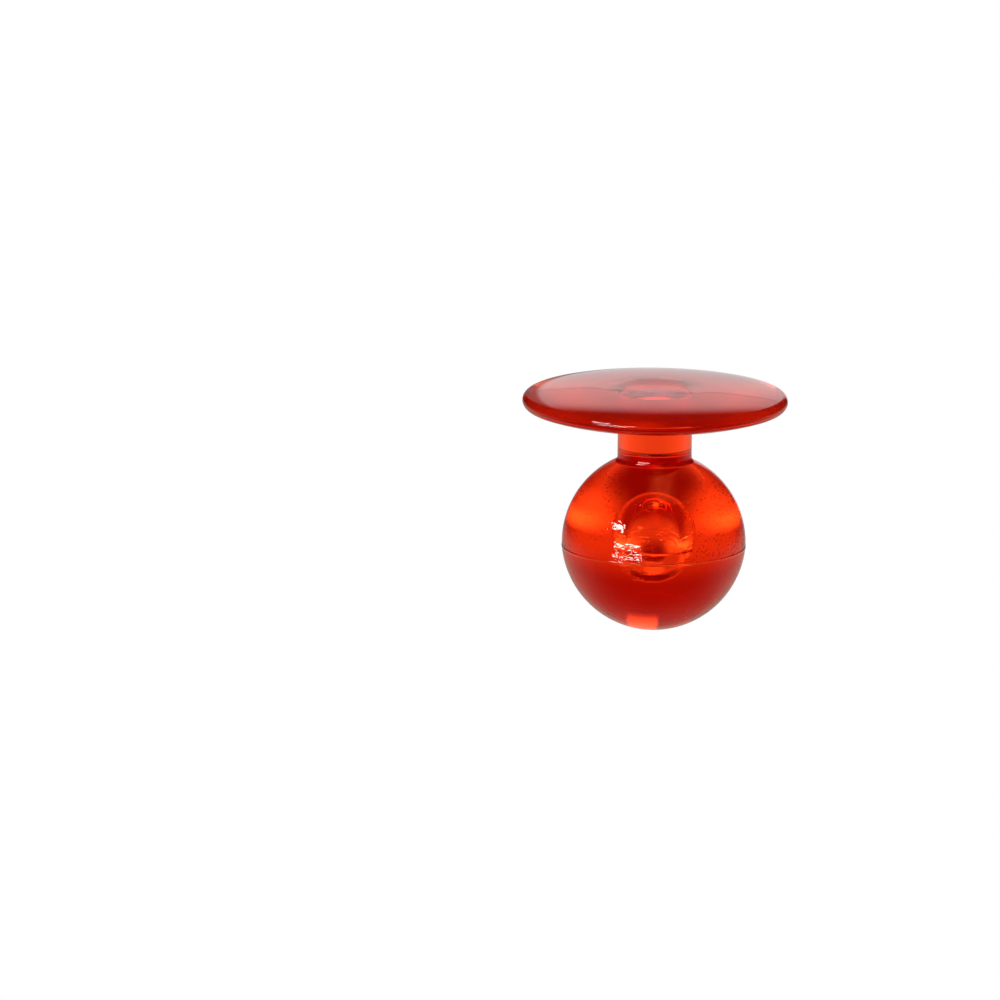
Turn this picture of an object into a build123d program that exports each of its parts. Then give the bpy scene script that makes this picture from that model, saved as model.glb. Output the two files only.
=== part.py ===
from build123d import *
import math
import os

# Ball stud button, moulded as one piece in clear red plastic.
# Millimetres, +Z up. The stud stands on its disc, with the origin at the centre of the disc's outer face
# and +Z along its axis, from the disc to the ball.

# Disc
disc_diameter = 15.2
rim_height = 0.89             # height of the disc's widest circle above the outer face
disc_thickness = 1.88
outer_flat_diameter = 6.0     # flat ring of the outer face, which the stud stands on
inner_flat_diameter = 7.6     # flat middle of the inner face, round the neck
rim_rounding = 0.42           # radius of the disc's edge, where the two domed faces meet
sink_diameter = 4.4           # shrink dimple in the middle of the outer face, over the neck
sink_depth = 0.06

# Neck
neck_diameter = 4.25
cloth_gap = 2.44              # free length of the neck, where the cloth sits

# Ball
ball_diameter = 10.53
ball_foot_depth = 4.72        # from the ball's middle down to where the neck enters it
ball_tip_height = 5.16        # from the ball's middle up to its tip
parting_offset = 0.3          # parting line, above the ball's middle
bead_width = 0.14             # bead of flash along the parting line
bead_proud = 0.02

# Shrink void sealed in the ball
void_diameter = 3.15
void_offset = 0.12            # from the ball's middle, towards the neck

disc_radius = disc_diameter / 2
neck_radius = neck_diameter / 2
ball_radius = ball_diameter / 2

neck_top = disc_thickness + cloth_gap
ball_middle = neck_top + ball_foot_depth
parting_height = ball_middle + parting_offset
ball_top = ball_middle + ball_tip_height


def domed_edge(flat_radius, height, side):
    """Section of one face of the disc, from its flat middle out to the widest circle of the rim.

    A shallow arc leaves the flat and runs smoothly into the rim's own rounding. height is the face's distance
    from the rim's widest circle, and side is -1 on the outer face and 1 on the inner one.
    """
    run = disc_radius - rim_rounding - flat_radius
    dome_radius = (run**2 + height**2 - rim_rounding**2) / (2 * (height - rim_rounding))
    turn = math.degrees(math.asin(run / (dome_radius - rim_rounding)))
    dome_centre = (flat_radius, rim_height + side * (height - dome_radius))
    rim_centre = (disc_radius - rim_rounding, rim_height)
    dome = CenterArc(dome_centre, dome_radius, side * 90, -side * turn)
    rim = CenterArc(rim_centre, rim_rounding, side * (90 - turn), -side * (90 - turn))
    return dome, rim


def disc_line():
    """Half section of the disc, from its dimple round the rim to the foot of the neck."""
    dimple = Spline((0, sink_depth), (sink_diameter / 2, 0), tangents=[(1, 0), (1, 0)])
    outer_dome, outer_rim = domed_edge(outer_flat_diameter / 2, rim_height, -1)
    inner_dome, inner_rim = domed_edge(inner_flat_diameter / 2, disc_thickness - rim_height, 1)
    outer_flat = Line(dimple @ 1, outer_dome @ 0)
    inner_flat = Line(inner_dome @ 0, (neck_radius, disc_thickness))
    return dimple + outer_flat + outer_dome + outer_rim + inner_rim + inner_dome + inner_flat


def neck_line():
    """Half section of the neck: straight from the disc to the ball."""
    return Line((neck_radius, disc_thickness), (neck_radius, neck_top))


def round_stretch(start, end):
    """Arc of a circle centred on the stud's axis, from one point of the section up to another."""
    (start_radius, start_height), (end_radius, end_height) = start, end
    start_square = start_radius**2 + start_height**2
    end_square = end_radius**2 + end_height**2
    centre = (end_square - start_square) / (2 * (end_height - start_height))
    start_angle = math.degrees(math.atan2(start_height - centre, start_radius))
    end_angle = math.degrees(math.atan2(end_height - centre, end_radius))
    radius = math.hypot(start_radius, start_height - centre)
    return CenterArc((0, centre), radius, start_angle, end_angle - start_angle)


def ball_line():
    """Half section of the ball: one round half from each side of the mould, with the parting bead between."""
    bead_low = (ball_radius, parting_height - bead_width / 2)
    bead_crest = (ball_radius + bead_proud, parting_height)
    bead_high = (ball_radius, parting_height + bead_width / 2)
    neck_half = round_stretch((neck_radius, neck_top), bead_low)
    tip_half = round_stretch(bead_high, (0, ball_top))
    return neck_half + Line(bead_low, bead_crest) + Line(bead_crest, bead_high) + tip_half


def stud_button():
    """The whole stud: its half section turned once round the axis, with the void sealed in the ball."""
    outline = disc_line() + neck_line() + ball_line()
    section = make_face(outline + Line(outline @ 1, outline @ 0))
    body = revolve(Plane.XZ * section, axis=Axis.Z)
    void = Pos(0, 0, ball_middle - void_offset) * Sphere(void_diameter / 2)
    return body - void


os.makedirs("parts", exist_ok=True)
export_step(stud_button(), "parts/stud_button.step")
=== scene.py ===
import math

import bpy
from mathutils import Matrix, Vector


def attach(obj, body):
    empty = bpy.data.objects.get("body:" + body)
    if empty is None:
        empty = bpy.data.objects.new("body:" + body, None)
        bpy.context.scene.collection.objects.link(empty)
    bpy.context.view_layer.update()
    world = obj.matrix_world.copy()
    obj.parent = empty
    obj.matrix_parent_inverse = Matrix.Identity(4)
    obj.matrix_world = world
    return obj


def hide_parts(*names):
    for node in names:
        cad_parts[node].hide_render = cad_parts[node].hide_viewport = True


bl_info = {
    "name": "Stud button",
    "version": (1, 0, 0),
    "blender": (4, 5, 0),
    "location": "View3D > Sidebar > Stud",
    "description": "Turns a clear red ball stud from its sizes, finishes it and sets a plain stage round it",
    "category": "Object",
}

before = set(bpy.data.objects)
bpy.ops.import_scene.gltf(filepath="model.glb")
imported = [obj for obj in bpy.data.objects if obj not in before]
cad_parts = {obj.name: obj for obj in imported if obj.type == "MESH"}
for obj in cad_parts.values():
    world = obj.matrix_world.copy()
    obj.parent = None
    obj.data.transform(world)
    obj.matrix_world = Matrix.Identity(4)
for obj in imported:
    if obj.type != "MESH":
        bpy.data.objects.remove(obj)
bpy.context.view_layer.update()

MM = 0.001
NODE = "stud_button"
BODY = "root"
PIECE = "clear_stud"
QUARTER = math.pi / 2
WHITE = (1.0, 1.0, 1.0, 1.0)


# Node trees written as expressions

# Places of a Mix node's colour sockets, which share their names with its other sockets
MIX_SHARE = 0
MIX_LOW = 6
MIX_HIGH = 7
MIX_RESULT = 2


class Socket:
    """An output of a node tree, with arithmetic that adds Math nodes to its tree."""

    def __init__(self, tree, socket):
        self.tree = tree
        self.socket = socket

    def math(self, operation, *values):
        """Add a Math node with this socket and the values as its inputs."""
        return self.tree.maths(operation, self, *values)

    def __add__(self, other):
        return self.math("ADD", other)

    def __radd__(self, other):
        return self.tree.maths("ADD", other, self)

    def __sub__(self, other):
        return self.math("SUBTRACT", other)

    def __rsub__(self, other):
        return self.tree.maths("SUBTRACT", other, self)

    def __mul__(self, other):
        return self.math("MULTIPLY", other)

    def __rmul__(self, other):
        return self.tree.maths("MULTIPLY", other, self)

    def __truediv__(self, other):
        return self.math("DIVIDE", other)

    def __rtruediv__(self, other):
        return self.tree.maths("DIVIDE", other, self)

    def __neg__(self):
        return self.math("MULTIPLY", -1.0)

    def __lt__(self, other):
        return self.math("LESS_THAN", other)

    def __gt__(self, other):
        return self.math("GREATER_THAN", other)

    def rise(self, low, high):
        """A smooth step from 0 at low to 1 at high."""
        sockets = {"Value": self, "From Min": low, "From Max": high}
        return self.tree.add("ShaderNodeMapRange", {"interpolation_type": "SMOOTHSTEP"}, sockets)

    def fall(self, low, high):
        """A smooth step from 1 at low to 0 at high."""
        return 1 - self.rise(low, high)

    def band(self, start, end):
        """A smooth step up over the first range, and down again over the second."""
        return self.rise(*start) * self.fall(*end)

    def parts(self):
        """The X, Y and Z of a vector."""
        node = self.tree.add("ShaderNodeSeparateXYZ", sockets={"Vector": self}).socket.node
        return [Socket(self.tree, output) for output in node.outputs]


class Tree:
    """A node tree that is filled by expressions on its sockets."""

    def __init__(self, tree):
        self.tree = tree

    def add(self, kind, settings=None, sockets=None, output=0):
        """Add a node: its settings first, then its sockets' values or links. Gives one of its outputs."""
        node = self.tree.nodes.new(kind)
        for name, value in (settings or {}).items():
            setattr(node, name, value)
        for name, value in (sockets or {}).items():
            for item in value if isinstance(value, list) else [value]:
                if isinstance(item, Socket):
                    self.tree.links.new(item.socket, node.inputs[name])
                else:
                    node.inputs[name].default_value = item
        return Socket(self, node.outputs[output]) if len(node.outputs) else None

    def maths(self, operation, *values):
        """Add a Math node."""
        return self.add("ShaderNodeMath", {"operation": operation}, dict(enumerate(values)))

    def vector(self, x=0.0, y=0.0, z=0.0):
        """Join three numbers into a vector."""
        return self.add("ShaderNodeCombineXYZ", sockets={"X": x, "Y": y, "Z": z})

    def vector_maths(self, operation, first, second, output="Vector"):
        """Add a Vector Math node for two vectors or colours."""
        return self.add("ShaderNodeVectorMath", {"operation": operation}, {0: first, 1: second}, output)

    def scaled(self, vector, scale):
        """A vector or a colour, times a number."""
        return self.add("ShaderNodeVectorMath", {"operation": "SCALE"}, {"Vector": vector, "Scale": scale})

    def mixed(self, share, low, high):
        """A colour between two, by a share from 0 to 1."""
        sockets = {MIX_SHARE: share, MIX_LOW: low, MIX_HIGH: high}
        return self.add("ShaderNodeMix", {"data_type": "RGBA"}, sockets, MIX_RESULT)


def squared(value):
    """A number or a socket, times itself."""
    return value * value


def opaque(colour, shade=1.0):
    """A colour property as a node's colour, made darker by a shade below 1."""
    return (*(shade * share for share in colour), 1.0)


def material_tree(name):
    """A new material and its emptied node tree."""
    material = bpy.data.materials.new(name)
    material.use_nodes = True
    material.node_tree.nodes.clear()
    return material, Tree(material.node_tree)


# Sizes and finishes that a user would change

def length(name, description, millimetres):
    """A size property, given in millimetres."""
    return bpy.props.FloatProperty(
        name=name, description=description, default=millimetres * MM, min=0.0, precision=5, unit="LENGTH"
    )


def colour(name, description, red_green_blue):
    """A colour property."""
    return bpy.props.FloatVectorProperty(
        name=name, description=description, default=red_green_blue, min=0.0, max=1.0, subtype="COLOR"
    )


class StudSizes(bpy.types.PropertyGroup):
    """Sizes of the stud's half section."""

    disc_diameter: length("Disc Diameter", "Across the disc's widest circle", 15.2)
    rim_height: length("Rim Height", "Height of the disc's widest circle above the outer face", 0.89)
    disc_thickness: length("Disc Thickness", "Between the flat middles of the two faces", 1.88)
    outer_flat: length("Outer Flat", "Diameter of the flat middle of the outer face", 6.0)
    face_crown: length("Face Crown", "How far the outer face's flat middle bulges", 0.04)
    inner_flat: length("Inner Flat", "Diameter of the flat middle of the inner face", 7.6)
    rim_rounding: length("Rim Rounding", "Radius of the disc's edge", 0.42)
    sink_diameter: length("Sink Diameter", "Across the shrink dimple in the outer face", 4.4)
    sink_depth: length("Sink Depth", "Depth of the shrink dimple", 0.06)
    neck_diameter: length("Neck Diameter", "Across the neck", 4.25)
    neck_top: length("Neck Top", "Height at which the neck enters the ball", 4.32)
    neck_rounding: length("Neck Rounding", "Radius of the corner between the neck and the ball", 0.34)
    ball_diameter: length("Ball Diameter", "Across the ball at the parting line", 10.53)
    parting_height: length("Parting Height", "Height of the parting line round the ball", 9.34)
    bead_width: length("Bead Width", "Width of the bead of flash along the parting line", 0.14)
    bead_proud: length("Bead Proud", "How far the bead stands out of the ball", 0.02)
    ball_top: length("Ball Top", "Height of the ball's tip", 14.2)
    void_diameter: length("Void Diameter", "Across the shrink void in the ball", 3.06)
    void_length: length("Void Length", "Length of the void along the stud's axis", 3.24)
    void_height: length("Void Height", "Height of the void's middle", 8.92)
    void_unevenness: length("Void Unevenness", "How far the void's wall wanders from a smooth egg", 0.02)


class PlasticFinish(bpy.types.PropertyGroup):
    """Colour and surface of the clear plastic, with its painted shade and painted highlight."""

    tint: colour("Tint", "Colour of a thin skin of the plastic", (1.0, 0.15, 0.045))
    # Darkening tint: painted shade at the rim and in the pits; it also darkens the dimple, the seam and a
    # patchy ring round the dimple
    darkening_tint: colour(
        "Darkening Tint", "Colour where it gathers: the rim, the dimple, the seam and the pits",
        (0.12, 0.004, 0.001),
    )
    # Paler colour on the parting line's step: a painted highlight along the parting line
    edge_tint: colour("Edge Tint", "Colour of the thin step at the parting line", (1.0, 0.7, 0.4))
    depth_colour: colour("Depth Colour", "Colour left by a long way through the plastic", (0.942, 0.5, 0.0))
    density: bpy.props.FloatProperty(
        name="Density", description="How fast the plastic takes light away, per metre", default=260.0, min=0.0
    )
    bending: bpy.props.FloatProperty(name="Bending", description="Index of refraction", default=1.59, min=1.0)
    gloss: bpy.props.FloatProperty(
        name="Gloss Roughness", description="Roughness of the polished half", default=0.015, subtype="FACTOR"
    )
    pitting: length("Pitting", "Depth of the pits on the ball's neck side", 0.006)
    peel: length("Peel", "Depth of the orange peel on the ball's neck side", 0.012)
    scuffs: length("Scuffs", "Depth of the scuffed patch on the ball's front", 0.010)
    tip_scuffs: length("Tip Scuffs", "Depth of the scuffs near the ball's tip", 0.018)
    flow_marks: length("Flow Marks", "Depth of the drawn-out streaks on the ball's tip side", 0.003)
    lip: length("Lip", "Height of the step at the parting line", 0.034)
    seam_height: length("Seam Height", "Height of the fine seam that the mould left round the neck", 3.62)
    seam_depth: length("Seam Depth", "Depth of the fine seam round the neck", 0.004)


class StageLook(bpy.types.PropertyGroup):
    """Floor, light and view."""

    floor_colour: colour("Floor Colour", "Pale colour of the floor", (0.96, 0.96, 0.96))
    glow: colour("Glow", "Red light that the plastic throws about itself", (0.5, 0.075, 0.015))
    shadow_glow: colour("Shadow Glow", "The glow in the stud's own shadow", (0.3, 0.012, 0.004))
    view_angle: bpy.props.FloatProperty(
        name="View Angle", description="Angle of the view past the disc's outer face", subtype="ANGLE",
        default=math.radians(12.3),
    )
    view_distance: length("View Distance", "From the stud to the camera", 900.0)


# The stud's shape

BAND_INPUTS = ("Middle Radius", "Middle Height", "Radial Reach", "Height Reach", "Start", "End")
WELD = 1e-6
CREASE_ANGLE = math.radians(30)

# Steps along each stretch of the half section, and round the axis
ROUND_SEGMENTS = 192
TIP_HALF_STEPS = 112
BEAD_STEPS = 10
NECK_HALF_STEPS = 88
CORNER_STEPS = 10
NECK_STEPS = 16
INNER_FLAT_STEPS = 10
DOME_STEPS = 32
RIM_STEPS = 40
OUTER_FLAT_STEPS = 16
SINK_STEPS = 24
VOID_STEPS = 64

# Where the outer face's bulge has died away, as a share of the disc's radius
CROWN_END = 0.95

# Noise that the void's wall wanders by
SWELL_SCALE = 420.0
SWELL_ROUGHNESS = 0.4
SWELL_SEED = 3.0
SWELL_MIDDLE = 0.5


def add_input(tree, name, kind="NodeSocketFloat"):
    """Give a node tree a named input."""
    return tree.interface.new_socket(name=name, in_out="INPUT", socket_type=kind)


def group_inputs(tree):
    """The named inputs of a node tree, as sockets to write expressions with."""
    node = tree.add("NodeGroupInput").socket.node
    return {output.name: Socket(tree, output) for output in node.outputs if output.name}


def turned_band_group():
    """Node group: a stretch of an ellipse, turned once round the Z axis."""
    group = bpy.data.node_groups.new("Turned Band", "GeometryNodeTree")
    for name in BAND_INPUTS:
        add_input(group, name)
    add_input(group, "Steps", "NodeSocketInt")
    group.interface.new_socket(name="Band", in_out="OUTPUT", socket_type="NodeSocketGeometry")
    tree = Tree(group)
    given = group_inputs(tree)
    grid = tree.add(
        "GeometryNodeMeshGrid",
        sockets={
            "Size X": 1.0,
            "Size Y": 1.0,
            "Vertices X": given["Steps"] + 1,
            "Vertices Y": ROUND_SEGMENTS + 1,
        },
    )
    along, around, _ = tree.add("GeometryNodeInputPosition").parts()
    angle = given["Start"] + (given["End"] - given["Start"]) * (along + 0.5)
    turn = (around + 0.5) * math.tau
    radius = given["Middle Radius"] + given["Radial Reach"] * angle.math("COSINE")
    height = given["Middle Height"] + given["Height Reach"] * angle.math("SINE")
    place = tree.vector(radius * turn.math("COSINE"), radius * turn.math("SINE"), height)
    band = tree.add("GeometryNodeSetPosition", sockets={"Geometry": grid, "Position": place})
    tree.add("NodeGroupOutput", sockets={"Band": band})
    return group


class SectionTurner:
    """Collects the stretches of a half section, each turned into a band of surface."""

    def __init__(self, tree, group):
        self.tree = tree
        self.group = group
        self.bands = []

    def arc(self, middle, reach, start, end, steps):
        """Turn part of an ellipse: its middle and reach as (radius, height), between two angles."""
        values = (*middle, *reach, start, end)
        sockets = dict(zip(BAND_INPUTS, values), Steps=steps)
        self.bands.append(self.tree.add("GeometryNodeGroup", {"node_tree": self.group}, sockets))

    def circle(self, middle, radius, start, end, steps):
        """Turn part of a circle."""
        self.arc(middle, (radius, radius), start, end, steps)

    def flat(self, height, start_radius, end_radius, steps):
        """Turn a level line into a flat ring."""
        middle, reach = (start_radius + end_radius) / 2, (start_radius - end_radius) / 2
        self.arc((middle, height), (reach, 0.0), 0.0, math.pi, steps)

    def upright(self, radius, start_height, end_height, steps):
        """Turn an upright line into a cylinder."""
        middle, reach = (start_height + end_height) / 2, (start_height - end_height) / 2
        self.arc((radius, middle), (0.0, reach), QUARTER, -QUARTER, steps)

    def direction(self, start, end):
        """The angle at which one point of the section sees another."""
        return self.tree.maths("ARCTAN2", end[1] - start[1], end[0] - start[0])

    def skin(self):
        """All the bands, joined and welded into one closed surface."""
        joined = self.tree.add("GeometryNodeJoinGeometry", sockets={"Geometry": self.bands})
        return self.tree.add("GeometryNodeMergeByDistance", sockets={"Geometry": joined, "Distance": WELD})


def axis_centre(high, low):
    """The point of the axis that is as far from one point of the section as from another, and how far."""
    (high_radius, high_height), (low_radius, low_height) = high, low
    squares = squared(high_radius) - squared(low_radius)
    heights = squared(high_height) - squared(low_height)
    height = (squares + heights) / (2 * (high_height - low_height))
    return (0.0, height), (squared(high_radius) + squared(high_height - height)).math("SQRT")


def dome_of_face(size, flat_radius, height):
    """The arc between a face's flat middle and the rim's rounding: its radius and its angle."""
    rounding = size["Rim Rounding"]
    run = size["Disc Diameter"] / 2 - rounding - flat_radius
    radius = (squared(run) + squared(height) - squared(rounding)) / (2 * (height - rounding))
    return radius, (run / (radius - rounding)).math("ARCSINE")


def turn_ball_and_neck(turner, size):
    """From the tip down: the ball's tip half, the bead, its neck half, the corner and the neck."""
    radius, parting = size["Ball Diameter"] / 2, size["Parting Height"]
    half_bead = size["Bead Width"] / 2
    bead_high, bead_low = (radius, parting + half_bead), (radius, parting - half_bead)
    neck, rounding = size["Neck Diameter"] / 2, size["Neck Rounding"]

    centre, reach = axis_centre((0.0, size["Ball Top"]), bead_high)
    turner.circle(centre, reach, QUARTER, turner.direction(centre, bead_high), TIP_HALF_STEPS)
    turner.arc((radius, parting), (size["Bead Proud"], half_bead), QUARTER, -QUARTER, BEAD_STEPS)

    centre, reach = axis_centre(bead_low, (neck, size["Neck Top"]))
    drop = (squared(reach + rounding) - squared(neck + rounding)).math("SQRT")
    corner = (neck + rounding, centre[1] - drop)
    start, end = turner.direction(centre, bead_low), turner.direction(centre, corner)
    turner.circle(centre, reach, start, end, NECK_HALF_STEPS)
    turner.circle(corner, rounding, turner.direction(corner, centre), math.pi, CORNER_STEPS)
    turner.upright(neck, corner[1], size["Disc Thickness"], NECK_STEPS)


def turn_disc(turner, size):
    """The disc from the neck out along its inner face, round the rim and back along its outer face."""
    thickness, rim_height, rounding = size["Disc Thickness"], size["Rim Height"], size["Rim Rounding"]
    rim_middle = (size["Disc Diameter"] / 2 - rounding, rim_height)
    inner_flat, outer_flat = size["Inner Flat"] / 2, size["Outer Flat"] / 2
    inner_dome, inner_turn = dome_of_face(size, inner_flat, thickness - rim_height)
    outer_dome, outer_turn = dome_of_face(size, outer_flat, rim_height)
    inner_end, outer_start = QUARTER - inner_turn, outer_turn - QUARTER
    sink = size["Sink Diameter"] / 2

    turner.flat(thickness, size["Neck Diameter"] / 2, inner_flat, INNER_FLAT_STEPS)
    turner.circle((inner_flat, thickness - inner_dome), inner_dome, QUARTER, inner_end, DOME_STEPS)
    turner.circle(rim_middle, rounding, inner_end, outer_start, RIM_STEPS)
    turner.circle((outer_flat, outer_dome), outer_dome, outer_start, -QUARTER, DOME_STEPS)
    turner.flat(0.0, outer_flat, sink, OUTER_FLAT_STEPS)
    turner.flat(0.0, sink, 0.0, SINK_STEPS)


def crown_and_sink(tree, skin, size):
    """Give the outer face its faint bulge, and press the shrink dimple into its middle."""
    x, y, z = tree.add("GeometryNodeInputPosition").parts()
    radius = (squared(x) + squared(y)).math("SQRT")
    flat, rim = size["Outer Flat"] / 2, size["Disc Diameter"] / 2
    bulge = size["Face Crown"] * squared(radius / flat) * radius.fall(flat, CROWN_END * rim)
    across = (radius / (size["Sink Diameter"] / 2)).math("MINIMUM", 1.0)
    bowl = size["Sink Depth"] * squared(1 - squared(across))
    return tree.add(
        "GeometryNodeSetPosition",
        sockets={
            "Geometry": skin,
            "Selection": z < size["Rim Height"] / 2,
            "Offset": tree.vector(z=bulge + bowl),
        },
    )


def uneven_void(turner, size):
    """The void in the ball: an egg whose wall wanders a little."""
    tree = turner.tree
    reach = (size["Void Diameter"] / 2, size["Void Length"] / 2)
    turner.arc((0.0, size["Void Height"]), reach, -QUARTER, QUARTER, VOID_STEPS)
    swell = tree.add(
        "ShaderNodeTexNoise",
        {"noise_dimensions": "4D"},
        {"W": SWELL_SEED, "Scale": SWELL_SCALE, "Detail": 1.0, "Roughness": SWELL_ROUGHNESS},
    )
    wander = (swell - SWELL_MIDDLE) * size["Void Unevenness"] * 2
    offset = tree.scaled(tree.add("GeometryNodeInputNormal"), wander)
    return tree.add("GeometryNodeSetPosition", sockets={"Geometry": turner.skin(), "Offset": offset})


def input_name(property_name):
    """The node tree's name for a size property."""
    return property_name.replace("_", " ").title()


def stud_group():
    """Geometry nodes: the whole stud, turned from its sizes."""
    group = bpy.data.node_groups.new("Turned Stud", "GeometryNodeTree")
    for name in StudSizes.__annotations__:
        add_input(group, input_name(name))
    add_input(group, "Plastic", "NodeSocketMaterial")
    group.interface.new_socket(name="Stud", in_out="OUTPUT", socket_type="NodeSocketGeometry")
    tree = Tree(group)
    size = group_inputs(tree)
    turned_band = turned_band_group()
    turner = SectionTurner(tree, turned_band)
    turn_ball_and_neck(turner, size)
    turn_disc(turner, size)
    skin = crown_and_sink(tree, turner.skin(), size)
    void = uneven_void(SectionTurner(tree, turned_band), size)
    stud = tree.add("GeometryNodeJoinGeometry", sockets={"Geometry": [skin, void]})
    smooth = {"Geometry": stud, "Shade Smooth": True}
    stud = tree.add("GeometryNodeSetShadeSmooth", {"domain": "FACE"}, smooth)
    crease = tree.add("GeometryNodeInputMeshEdgeAngle") > CREASE_ANGLE
    sharp = {"Geometry": stud, "Selection": crease, "Shade Smooth": False}
    stud = tree.add("GeometryNodeSetShadeSmooth", {"domain": "EDGE"}, sharp)
    stud = tree.add("GeometryNodeRealizeInstances", sockets={"Geometry": stud})
    stud = tree.add("GeometryNodeSetMaterial", sockets={"Geometry": stud, "Material": size["Plastic"]})
    tree.add("NodeGroupOutput", sockets={"Stud": stud})
    return group


def plain_mesh(name, group, values):
    """Run a geometry tree with its inputs set, and keep the result as a plain mesh object."""
    host = bpy.data.objects.new(name, bpy.data.meshes.new(name))
    bpy.context.scene.collection.objects.link(host)
    modifier = host.modifiers.new(name, "NODES")
    modifier.node_group = group
    for item in group.interface.items_tree:
        if item.in_out == "INPUT":
            modifier[item.identifier] = values[item.name]
    evaluated = host.evaluated_get(bpy.context.evaluated_depsgraph_get())
    mesh = bpy.data.meshes.new_from_object(evaluated)
    host.modifiers.remove(modifier)
    host.data = mesh
    mesh.name = name
    if not mesh.polygons:
        raise RuntimeError(f"{name} came out empty")
    return host


# The plastic's finish

# Noise of each mark: its scale, and how far it is squeezed along the stud's axis
WORN_SCALE = 420.0
PIT_SCALE = 4800.0
PEEL_SCALE = 2400.0
HAZE_SCALE = 180.0
RIPPLE_SCALE = 2600.0
RIPPLE_SQUEEZE = 2.5
STREAK_SCALE = 1500.0
STREAK_SQUEEZE = 0.12

# Where each mark starts and ends on the stud: the two ends of a smooth step
FOOT_FADE = 0.6 * MM                          # above the ball's foot
LIP_WIDTH = 0.12 * MM                         # above the parting line
FLANKS = (0.9 * MM, 2.3 * MM)                 # to either side of the stud's middle
SEAM_EDGE = (0.05 * MM, 0.12 * MM)            # above and below the seam
SEAM_FRONT = (-1.6 * MM, 1.6 * MM)            # towards the front
SCUFF_MIDDLE = (1.6 * MM, -5.0 * MM, 9.0 * MM)
SCUFF_EDGE = (1.2 * MM, 2.0 * MM)             # from that middle
TIP_SCUFFS_START = (11.2 * MM, 12.2 * MM)     # heights
TIP_SCUFFS_END = (13.2 * MM, 13.9 * MM)
TIP_SCUFFS_FRONT = (0.4 * MM, 1.4 * MM)       # towards the front
# Painted shade towards the disc's rim starts between these distances
RIM_SHADE_START = (5.2 * MM, 7.4 * MM)              # from the axis, as are the next three
SINK_EDGE = (1.7 * MM, 2.5 * MM)
# A patchy darker ring round the dimple, between these distances
PATCHES_START = (1.5 * MM, 2.1 * MM)
PATCHES_END = (2.3 * MM, 3.1 * MM)
INNER_FACE_START = (0.7, 0.8)                 # heights, as shares of the disc's thickness
INNER_FACE_END = 1.3
VOID_REACH = 0.62                             # from the void's middle, as a share of its length

# Levels of the noise between which each mark comes up
PIT_LEVELS = (0.1, 0.45)
PITTED_LEVELS = (0.34, 0.54)
# Noise levels of the patchy darker ring round the dimple
PATCH_LEVELS = (0.4, 0.56)
STREAK_LEVELS = (0.5, 0.64)
HAZE_LEVELS = (0.3, 0.7)

# Roughness that each place adds to the gloss
NECK_SIDE_ROUGHNESS = 0.01
HAZE_ROUGHNESS = 0.02
INNER_FACE_ROUGHNESS = 0.3
SINK_ROUGHNESS = 0.2

# Shares of the darkening tint: painted shade at the rim and in the pits, plain darkening in the dimple and
# the patchy ring; and how dark the haze is
RIM_SHADE_SHARE = 0.32
SINK_SHARE = 0.25
PIT_SHADE_SHARE = 0.8
PATCH_SHARE = 0.7
HAZE_SHADE = 0.94


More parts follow.
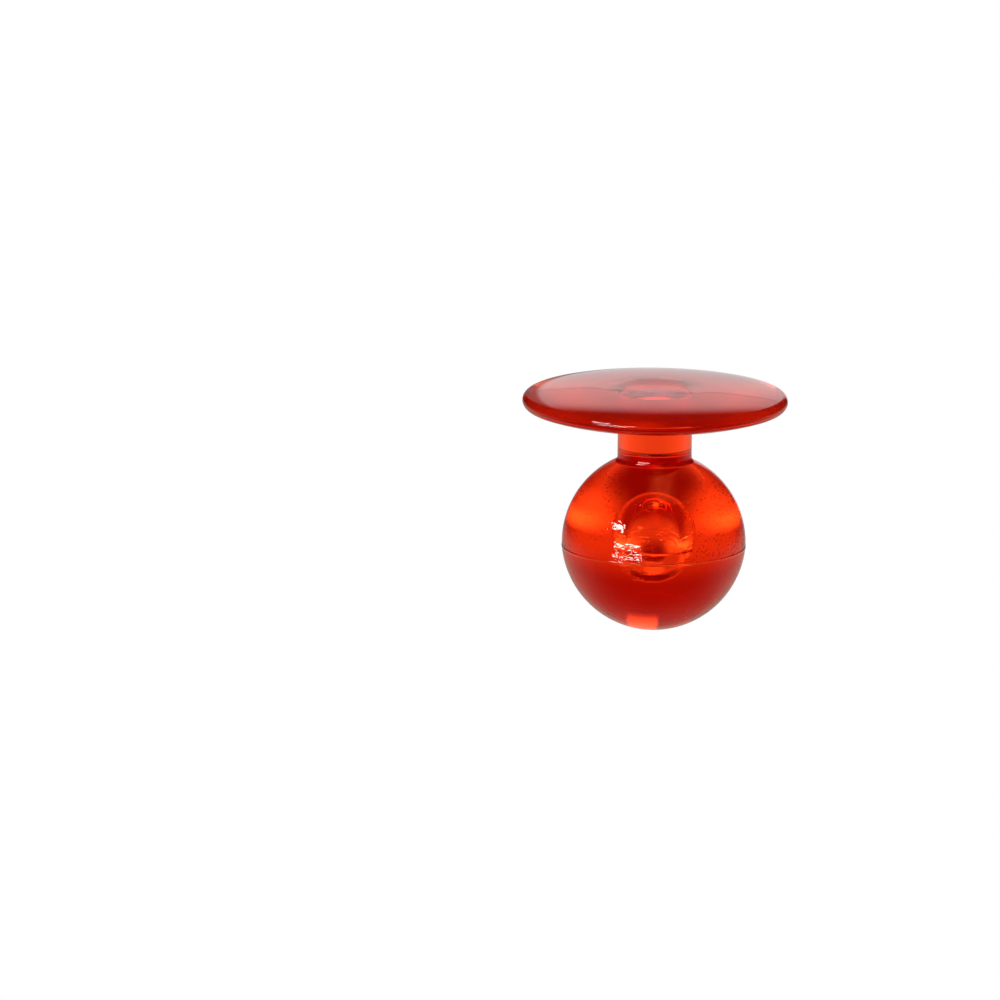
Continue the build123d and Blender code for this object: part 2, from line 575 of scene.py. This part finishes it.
class PlasticSkin:
    """Marks of the plastic's skin, each from 0 to 1, and the relief, roughness and tint that they make; the
    tint holds painted shade and a painted highlight.
    """

    def __init__(self, tree, finish, sizes):
        self.tree, self.finish, self.sizes = tree, finish, sizes
        self.place = tree.add("ShaderNodeTexCoord", output="Object")
        self.x, y, self.z = self.place.parts()
        self.front = -y
        self.from_axis = (squared(self.x) + squared(y)).math("SQRT")
        foot, parting = sizes.neck_top, sizes.parting_height
        self.neck_side = self.z.rise(foot, foot + FOOT_FADE) * (self.z < parting)
        self.tip_side = self.z > parting
        self.outer_face = self.z < sizes.rim_height / 2
        self.flanks = self.x.math("ABSOLUTE").rise(*FLANKS) * self.neck_side
        self.worn = self.noise(WORN_SCALE, detail=2.0)
        self.haze = self.noise(HAZE_SCALE, detail=3.0)
        self.lip = self.z.fall(parting, parting + LIP_WIDTH) * self.tip_side
        from_seam = (self.z - finish.seam_height).math("ABSOLUTE")
        self.seam = from_seam.fall(*SEAM_EDGE) * self.front.rise(*SEAM_FRONT)
        self.sink = self.from_axis.fall(*SINK_EDGE) * self.outer_face
        spots = tree.add("ShaderNodeTexVoronoi", sockets={"Vector": self.place, "Scale": PIT_SCALE})
        self.pits = spots.fall(*PIT_LEVELS) * self.worn.rise(*PITTED_LEVELS) * self.flanks

    def noise(self, scale, detail, squeeze=1.0):
        """Noise over the stud, squeezed along its axis or, below 1, drawn out along it."""
        squeezed = {"Vector": self.place, "Scale": (1.0, 1.0, squeeze)}
        place = self.tree.add("ShaderNodeMapping", sockets=squeezed)
        sockets = {"Vector": place, "Scale": scale, "Detail": detail}
        return self.tree.add("ShaderNodeTexNoise", sockets=sockets)

    def distance_from(self, point):
        """Distance from a point of the stud."""
        return self.tree.vector_maths("DISTANCE", self.place, point, "Value")

    def relief(self):
        """Height of the marks: orange peel, pits, scuffs, streaks, the parting line's step and the seam."""
        finish = self.finish
        peel = self.noise(PEEL_SCALE, detail=2.0) * self.flanks
        ripples = self.noise(RIPPLE_SCALE, detail=1.0, squeeze=RIPPLE_SQUEEZE)
        scuffed = self.distance_from(SCUFF_MIDDLE).fall(*SCUFF_EDGE)
        near_tip = self.z.band(TIP_SCUFFS_START, TIP_SCUFFS_END) * self.front.rise(*TIP_SCUFFS_FRONT)
        flow = self.noise(STREAK_SCALE, detail=2.0, squeeze=STREAK_SQUEEZE)
        streaks = flow.rise(*STREAK_LEVELS) * self.tip_side
        relief = peel * finish.peel - self.pits * finish.pitting
        relief = relief + ripples * scuffed * finish.scuffs + ripples * near_tip * finish.tip_scuffs
        return relief + streaks * finish.flow_marks + self.lip * finish.lip - self.seam * finish.seam_depth

    def roughness(self):
        """Roughness: polished, a little uneven, and dull on the disc's inner face and in the dimple."""
        thickness = self.sizes.disc_thickness
        start, end = (share * thickness for share in INNER_FACE_START)
        inner_face = self.z.rise(start, end) * (self.z < INNER_FACE_END * thickness)
        roughness = self.finish.gloss + self.neck_side * NECK_SIDE_ROUGHNESS + self.haze * HAZE_ROUGHNESS
        return roughness + inner_face * INNER_FACE_ROUGHNESS + self.sink * SINK_ROUGHNESS

    def tint(self):
        """Colour: painted shade at the rim and in the pits, darker in the dimple, along the seam and in a
        patchy ring round the dimple, a painted highlight on the parting line's step, and none on the void's
        wall.
        """
        finish, sizes = self.finish, self.sizes
        # Painted shade towards the disc's rim
        rim = self.from_axis.rise(*RIM_SHADE_START) * (self.z < sizes.disc_thickness)
        # A patchy darker ring round the dimple
        dark_patches = self.from_axis.band(PATCHES_START, PATCHES_END) * self.outer_face
        dark_patches = dark_patches * self.worn.rise(*PATCH_LEVELS)
        # Painted shade at the rim and in the pits; plainly darker in the dimple, along the seam and in the
        # patchy ring
        darkened = rim * RIM_SHADE_SHARE + self.sink * SINK_SHARE + self.pits * PIT_SHADE_SHARE
        darkened = (darkened + self.seam + dark_patches * PATCH_SHARE).math("MINIMUM", 1.0)
        on_void = self.distance_from((0.0, 0.0, sizes.void_height)) < VOID_REACH * sizes.void_length
        hazed = self.haze.rise(*HAZE_LEVELS)
        tint = self.tree.mixed(hazed, opaque(finish.tint), opaque(finish.tint, HAZE_SHADE))
        tint = self.tree.mixed(darkened, tint, opaque(finish.darkening_tint))
        # Painted highlight: a paler colour on the parting line's step
        tint = self.tree.mixed(self.lip, tint, opaque(finish.edge_tint))
        return self.tree.mixed(on_void, tint, WHITE)


def clear_plastic(finish, sizes):
    """Clear red plastic: polished at the tip and on the disc, finely pitted on the neck side of the ball,
    with painted shade at the rim and in the pits and a painted highlight on the parting line's step.
    """
    material, tree = material_tree("Clear red plastic")
    skin = PlasticSkin(tree, finish, sizes)
    bump = tree.add("ShaderNodeBump", sockets={"Strength": 1.0, "Distance": 1.0, "Height": skin.relief()})
    surface = tree.add(
        "ShaderNodeBsdfPrincipled",
        sockets={
            "Base Color": skin.tint(),
            "Roughness": skin.roughness(),
            "IOR": finish.bending,
            "Transmission Weight": 1.0,
            "Normal": bump,
        },
    )
    depth = {"Color": opaque(finish.depth_colour), "Density": finish.density}
    inside = tree.add("ShaderNodeVolumeAbsorption", sockets=depth)
    tree.add("ShaderNodeOutputMaterial", sockets={"Surface": surface, "Volume": inside})
    return material


class STUD_OT_turn_stud(bpy.types.Operator):
    """Turn the stud from its sizes and give it its clear plastic"""

    bl_idname = "stud.turn_stud"
    bl_label = "Turn Stud"

    def execute(self, context):
        sizes, finish = context.scene.stud_sizes, context.scene.stud_finish
        values = {input_name(name): getattr(sizes, name) for name in StudSizes.__annotations__}
        values["Plastic"] = clear_plastic(finish, sizes)
        stud = plain_mesh(PIECE, stud_group(), values)
        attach(stud, BODY)
        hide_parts(NODE)
        return {"FINISHED"}


# The photo's view

PHOTO_WIDTH = 1000
DISC_IN_PHOTO = Vector((655.0, 400.8))
BALL_IN_PHOTO = Vector((653.8, 539.9))
PARTING_OFFSET = 0.3 * MM                     # of the parting line, above the ball's middle
SENSOR_WIDTH = 36.0


class PhotoView:
    """Where the photo's camera stands round the stud, and how its picture lies.

    The picture shows the disc above the ball, so the camera looks up past the disc's outer face and is turned
    over. Its roll and place put the disc's and the ball's middles where the photo has them.
    """

    def __init__(self, sizes, look):
        disc = Vector((0, 0, sizes.rim_height))
        self.ball = Vector((0, 0, sizes.parting_height - PARTING_OFFSET))
        self.back = Vector((0, -math.cos(look.view_angle), -math.sin(look.view_angle)))
        to_disc = disc - self.ball
        to_disc -= to_disc.dot(self.back) * self.back
        axis_up = to_disc.normalized()
        axis_right = axis_up.cross(self.back)
        shown = DISC_IN_PHOTO - BALL_IN_PHOTO
        lean = math.atan2(shown.x, -shown.y)
        self.up = math.cos(lean) * axis_up - math.sin(lean) * axis_right
        self.right = math.cos(lean) * axis_right + math.sin(lean) * axis_up
        self.scale = shown.length / to_disc.length
        middle = (DISC_IN_PHOTO + BALL_IN_PHOTO) / 2 - Vector((PHOTO_WIDTH / 2, PHOTO_WIDTH / 2))
        self.target = (disc + self.ball) / 2 - (middle.x * self.right - middle.y * self.up) / self.scale

    def matrix(self, distance):
        """The camera's place and turn."""
        place = self.target + self.back * distance
        turn = Matrix((self.right, self.up, self.back)).transposed()
        return Matrix.Translation(place) @ turn.to_4x4()

    def mirrored_from(self, spot, radius):
        """The direction that the ball mirrors towards the camera at a spot of the photo."""
        offset = (spot - BALL_IN_PHOTO) / (self.scale * radius)
        depth = math.sqrt(max(0.0, 1 - offset.length_squared))
        normal = offset.x * self.right - offset.y * self.up + depth * self.back
        return 2 * normal.dot(self.back) * normal - self.back


def photo_camera(view, look):
    """The camera that sees the stud as the photo does."""
    data = bpy.data.cameras.new("Photo camera")
    data.sensor_width = SENSOR_WIDTH
    data.lens = SENSOR_WIDTH * look.view_distance * view.scale / PHOTO_WIDTH
    camera = bpy.data.objects.new("Photo camera", data)
    camera.matrix_world = view.matrix(look.view_distance)
    bpy.context.scene.collection.objects.link(camera)
    bpy.context.scene.camera = camera


# The floor

FLOOR_HALF = 1.5
FLOOR_GAP = 0.05 * MM
FLOOR_CORNERS = ((-1, -1), (1, -1), (1, 1), (-1, 1))


def pale_floor(look):
    """Floor that is seen from above only, so that the photo's view from below shows the bare background."""
    mesh = bpy.data.meshes.new("Floor")
    corners = [(x * FLOOR_HALF, y * FLOOR_HALF, -FLOOR_GAP) for x, y in FLOOR_CORNERS]
    mesh.from_pydata(corners, [], [range(len(corners))])
    material, tree = material_tree("Pale floor")
    pale = tree.add("ShaderNodeBsdfDiffuse", sockets={"Color": opaque(look.floor_colour)})
    bare = tree.add("ShaderNodeBsdfTransparent")
    below = tree.add("ShaderNodeNewGeometry", output="Backfacing")
    come_through = tree.add("ShaderNodeLightPath", output="Transparent Depth") > 0.5
    unseen = below.math("MAXIMUM", come_through)
    surface = tree.add("ShaderNodeMixShader", sockets={0: unseen, 1: pale, 2: bare})
    tree.add("ShaderNodeOutputMaterial", sockets={"Surface": surface})
    mesh.materials.append(material)
    floor = bpy.data.objects.new("Floor", mesh)
    bpy.context.scene.collection.objects.link(floor)
    floor.visible_shadow = False


# The light

def sines(*degrees):
    """Sines of angles in degrees."""
    return tuple(math.sin(math.radians(angle)) for angle in degrees)


def cosines(*degrees):
    """Cosines of angles in degrees."""
    return tuple(math.cos(math.radians(angle)) for angle in degrees)


# The room is turned over with the camera: its table is above the stud. A pair is the two ends of a smooth
# step, and a loss is the light that a place takes away.
LEVEL_GUARD = 1e-6                            # keeps the upright directions from dividing by 0
ROOM_LEVEL = 0.01                             # light of the room's dark places
WARM_LIGHT = (1.0, 0.95, 0.78, 1.0)

# What the plastic shows through itself
TABLE_LIGHT = 0.56
TABLE_START = sines(-14, 9)
NEAR_TABLE = (0.1, 0.5)
NEAR_LOSS = 0.26
SIDES_OF_TABLE = (0.75, 0.95)
SIDE_LOSS = 0.4
MIDDLE_OF_TABLE = (0.1, 0.45)
MIDDLE_LOSS = 0.18
SHADOW_RISE = math.radians(46)
SHADOW_MIDDLE = (0.0, math.cos(SHADOW_RISE), math.sin(SHADOW_RISE))
SHADOW_EDGE = cosines(34, 13)
BAND_LIGHT = 0.9
BAND_START = sines(13, 22)
BAND_END = sines(26, 44)
BAND_SIDES = sines(10, 42)
CORE_LIGHT = 2.2
CORE_START = sines(11, 17)
CORE_END = sines(19, 27)
CORE_SIDES = sines(15, 65)
WINDOW_LIGHT = 3.2
WINDOW_DROP = sines(34, 64)
WINDOW_START = (-0.29, -0.23)
WINDOW_END = (0.01, 0.07)
OVERHEAD_LIGHT = 0.7
OVERHEAD_START = sines(62, 78)

# What the plastic mirrors
BACKDROP_LIGHT = 0.86
BACKDROP_SIDES = (0.955, 0.99)
BACKDROP_FOOT = sines(20, 30)
BACKDROP_HEAD = sines(6, 20)
FOLD_DROP = math.sin(math.radians(13.2))
FOLD_SLANT = 0.5
FOLD_WIDTH = (0.0, 0.006)
FOLD_LOSS = 0.3
BELOW_FOLD = (-0.004, 0.004)
BELOW_FOLD_LOSS = 0.12
SHADED_START = (0.014, 0.03)
SHADED_SLANT = 0.22
SHADED_LOSS = 0.75
MIRRORED_TABLE_LIGHT = 0.45
MIRRORED_TABLE_START = sines(2, 14)
MIRRORED_TABLE_DEPTH = (-0.45, 0.8)
MIRRORED_OVERHEAD = sines(30, 55)
MIRRORED_OVERHEAD_LOSS = 0.4
WARMTH_LEVELS = (0.0, 0.1)


class Room:
    """The room round the stud, as the light that comes along each direction."""

    def __init__(self, tree, look):
        self.tree = tree
        self.look = look
        self.direction = tree.add("ShaderNodeTexCoord", output="Generated")
        self.x, self.y, self.z = self.direction.parts()
        level = (squared(self.x) + squared(self.y) + LEVEL_GUARD).math("SQRT")
        self.sideways = self.x.math("ABSOLUTE") / level
        self.straight_back = self.y / level

    def table(self):
        """The pale table, darker near the camera, at its sides and straight behind the stud."""
        table = self.z.rise(*TABLE_START) * (TABLE_LIGHT - NEAR_LOSS * (-self.y).rise(*NEAR_TABLE))
        table = table * (1 - SIDE_LOSS * self.sideways.rise(*SIDES_OF_TABLE))
        return table * (1 - MIDDLE_LOSS * self.sideways.fall(*MIDDLE_OF_TABLE))

    def seen_through(self):
        """Colour behind the plastic: a red glow, the table under the stud's shadow, and bright places."""
        towards_shadow = self.tree.vector_maths("DOT_PRODUCT", self.direction, SHADOW_MIDDLE, "Value")
        shadow = towards_shadow.rise(*SHADOW_EDGE)
        band = self.z.band(BAND_START, BAND_END) * self.sideways.rise(*BAND_SIDES)
        core = self.z.band(CORE_START, CORE_END) * self.sideways.rise(*CORE_SIDES)
        window = (-self.z).rise(*WINDOW_DROP) * self.x.band(WINDOW_START, WINDOW_END)
        overhead = self.z.rise(*OVERHEAD_START)
        pale = self.table() * (1 - shadow) + BAND_LIGHT * band + CORE_LIGHT * core
        pale = pale + WINDOW_LIGHT * window + OVERHEAD_LIGHT * overhead
        glow = self.tree.mixed(shadow, opaque(self.look.glow), opaque(self.look.shadow_glow))
        return self.tree.vector_maths("ADD", glow, pale)

    def backdrop(self):
        """The pale backdrop straight behind the stud, with a slanting fold and a shaded side."""
        backdrop = self.straight_back.rise(*BACKDROP_SIDES)
        backdrop = backdrop * (-self.z).fall(*BACKDROP_FOOT) * self.z.fall(*BACKDROP_HEAD)
        below_fold = FOLD_SLANT * self.x - self.z - FOLD_DROP
        fold = below_fold.math("ABSOLUTE").fall(*FOLD_WIDTH)
        light = BACKDROP_LIGHT - BELOW_FOLD_LOSS * below_fold.rise(*BELOW_FOLD) - FOLD_LOSS * fold
        shaded = (self.x + SHADED_SLANT * self.z).rise(*SHADED_START)
        return backdrop * light * (1 - SHADED_LOSS * shaded)

    def mirrored(self):
        """Colour that the plastic mirrors: the pale backdrop, the warm table, and darkness elsewhere."""
        backdrop = self.backdrop()
        table = MIRRORED_TABLE_LIGHT * self.y.rise(*MIRRORED_TABLE_DEPTH) * self.z.rise(*MIRRORED_TABLE_START)
        table = table * (1 - MIRRORED_OVERHEAD_LOSS * self.z.rise(*MIRRORED_OVERHEAD))
        warmth = table.rise(*WARMTH_LEVELS) * backdrop.fall(*WARMTH_LEVELS)
        light = ROOM_LEVEL + backdrop.math("MAXIMUM", table)
        return self.tree.scaled(self.tree.mixed(warmth, WHITE, WARM_LIGHT), light)


def white_room(look):
    """World: white to the camera, and a room with light and dark places to the plastic."""
    world = bpy.data.worlds.new("White room")
    bpy.context.scene.world = world
    world.cycles.sampling_method = "NONE"
    world.use_nodes = True
    world.node_tree.nodes.clear()
    tree = Tree(world.node_tree)
    room = Room(tree, look)
    through = tree.add("ShaderNodeLightPath", output="Is Transmission Ray")
    glossy = tree.add("ShaderNodeLightPath", output="Is Glossy Ray")
    thrown_back = tree.add("ShaderNodeLightPath", output="Is Reflection Ray")
    seen = tree.mixed(through, WHITE, room.seen_through())
    seen = tree.mixed(glossy * thrown_back, seen, room.mirrored())
    surround = tree.add("ShaderNodeBackground", sockets={"Color": seen, "Strength": 1.0})
    tree.add("ShaderNodeOutputWorld", sockets={"Surface": surround})


# Strip lamps: the spot of the photo where the ball mirrors each one, and its width and height
UPPER_GLINT_IN_PHOTO = Vector((619, 525))
MIDDLE_GLINT_IN_PHOTO = Vector((627, 545))
LOWER_GLINT_IN_PHOTO = Vector((627, 556))
STRIP_LAMPS = (
    ("Upper strip", UPPER_GLINT_IN_PHOTO, (0.11, 0.04)),
    ("Middle strip", MIDDLE_GLINT_IN_PHOTO, (0.25, 0.018)),
    ("Lower strip", LOWER_GLINT_IN_PHOTO, (0.25, 0.012)),
)
LAMP_DISTANCE = 0.4
LAMP_POWER = 70.0                             # watts for each square metre of lamp
LIGHT_BOUNCES = 32
GLOSS_BOUNCES = 16


def lamp(name, place, target, size):
    """A rectangular lamp that faces a target."""
    data = bpy.data.lights.new(name, "AREA")
    data.shape = "RECTANGLE"
    data.size, data.size_y = size
    data.energy = LAMP_POWER * data.size * data.size_y
    lamp_object = bpy.data.objects.new(name, data)
    lamp_object.location = place
    lamp_object.rotation_mode = "QUATERNION"
    lamp_object.rotation_quaternion = (target - place).to_track_quat("-Z", "Y")
    bpy.context.scene.collection.objects.link(lamp_object)


def strip_lamps(view, ball_radius):
    """The lamps that the ball's front mirrors as bright strips."""
    for name, spot, size in STRIP_LAMPS:
        direction = view.mirrored_from(spot, ball_radius)
        lamp(name, view.ball + direction * LAMP_DISTANCE, view.ball, size)


class STUD_OT_set_stage(bpy.types.Operator):
    """Set the floor, the light and the photo's camera"""

    bl_idname = "stud.set_stage"
    bl_label = "Set Stage"

    def execute(self, context):
        scene, look, sizes = context.scene, context.scene.stud_stage, context.scene.stud_sizes
        view = PhotoView(sizes, look)
        photo_camera(view, look)
        pale_floor(look)
        white_room(look)
        strip_lamps(view, sizes.ball_diameter / 2)
        scene.view_settings.view_transform = "Standard"
        scene.cycles.max_bounces = LIGHT_BOUNCES
        scene.cycles.transmission_bounces = LIGHT_BOUNCES
        scene.cycles.glossy_bounces = GLOSS_BOUNCES
        return {"FINISHED"}


# The add-on

class STUD_PT_panel(bpy.types.Panel):
    """The stud's sizes, finish and stage"""

    bl_idname = "STUD_PT_panel"
    bl_label = "Stud Button"
    bl_space_type = "VIEW_3D"
    bl_region_type = "UI"
    bl_category = "Stud"

    def draw(self, context):
        for group, operator in (
            ("stud_sizes", None),
            ("stud_finish", STUD_OT_turn_stud),
            ("stud_stage", STUD_OT_set_stage),
        ):
            box = self.layout.box()
            settings = getattr(context.scene, group)
            for name in type(settings).__annotations__:
                box.prop(settings, name)
            if operator:
                box.operator(operator.bl_idname)


CLASSES = (StudSizes, PlasticFinish, StageLook, STUD_OT_turn_stud, STUD_OT_set_stage, STUD_PT_panel)
SCENE_GROUPS = {"stud_sizes": StudSizes, "stud_finish": PlasticFinish, "stud_stage": StageLook}


def register():
    """Register the classes and give the scene its settings."""
    for cls in CLASSES:
        bpy.utils.register_class(cls)
    for name, group in SCENE_GROUPS.items():
        setattr(bpy.types.Scene, name, bpy.props.PointerProperty(type=group))


def unregister():
    """Take the settings and the classes away again."""
    for name in SCENE_GROUPS:
        delattr(bpy.types.Scene, name)
    for cls in reversed(CLASSES):
        bpy.utils.unregister_class(cls)


def main():
    """Make the stud and its stage."""
    register()
    bpy.ops.stud.turn_stud()
    bpy.ops.stud.set_stage()


if __name__ == "__main__":
    main()
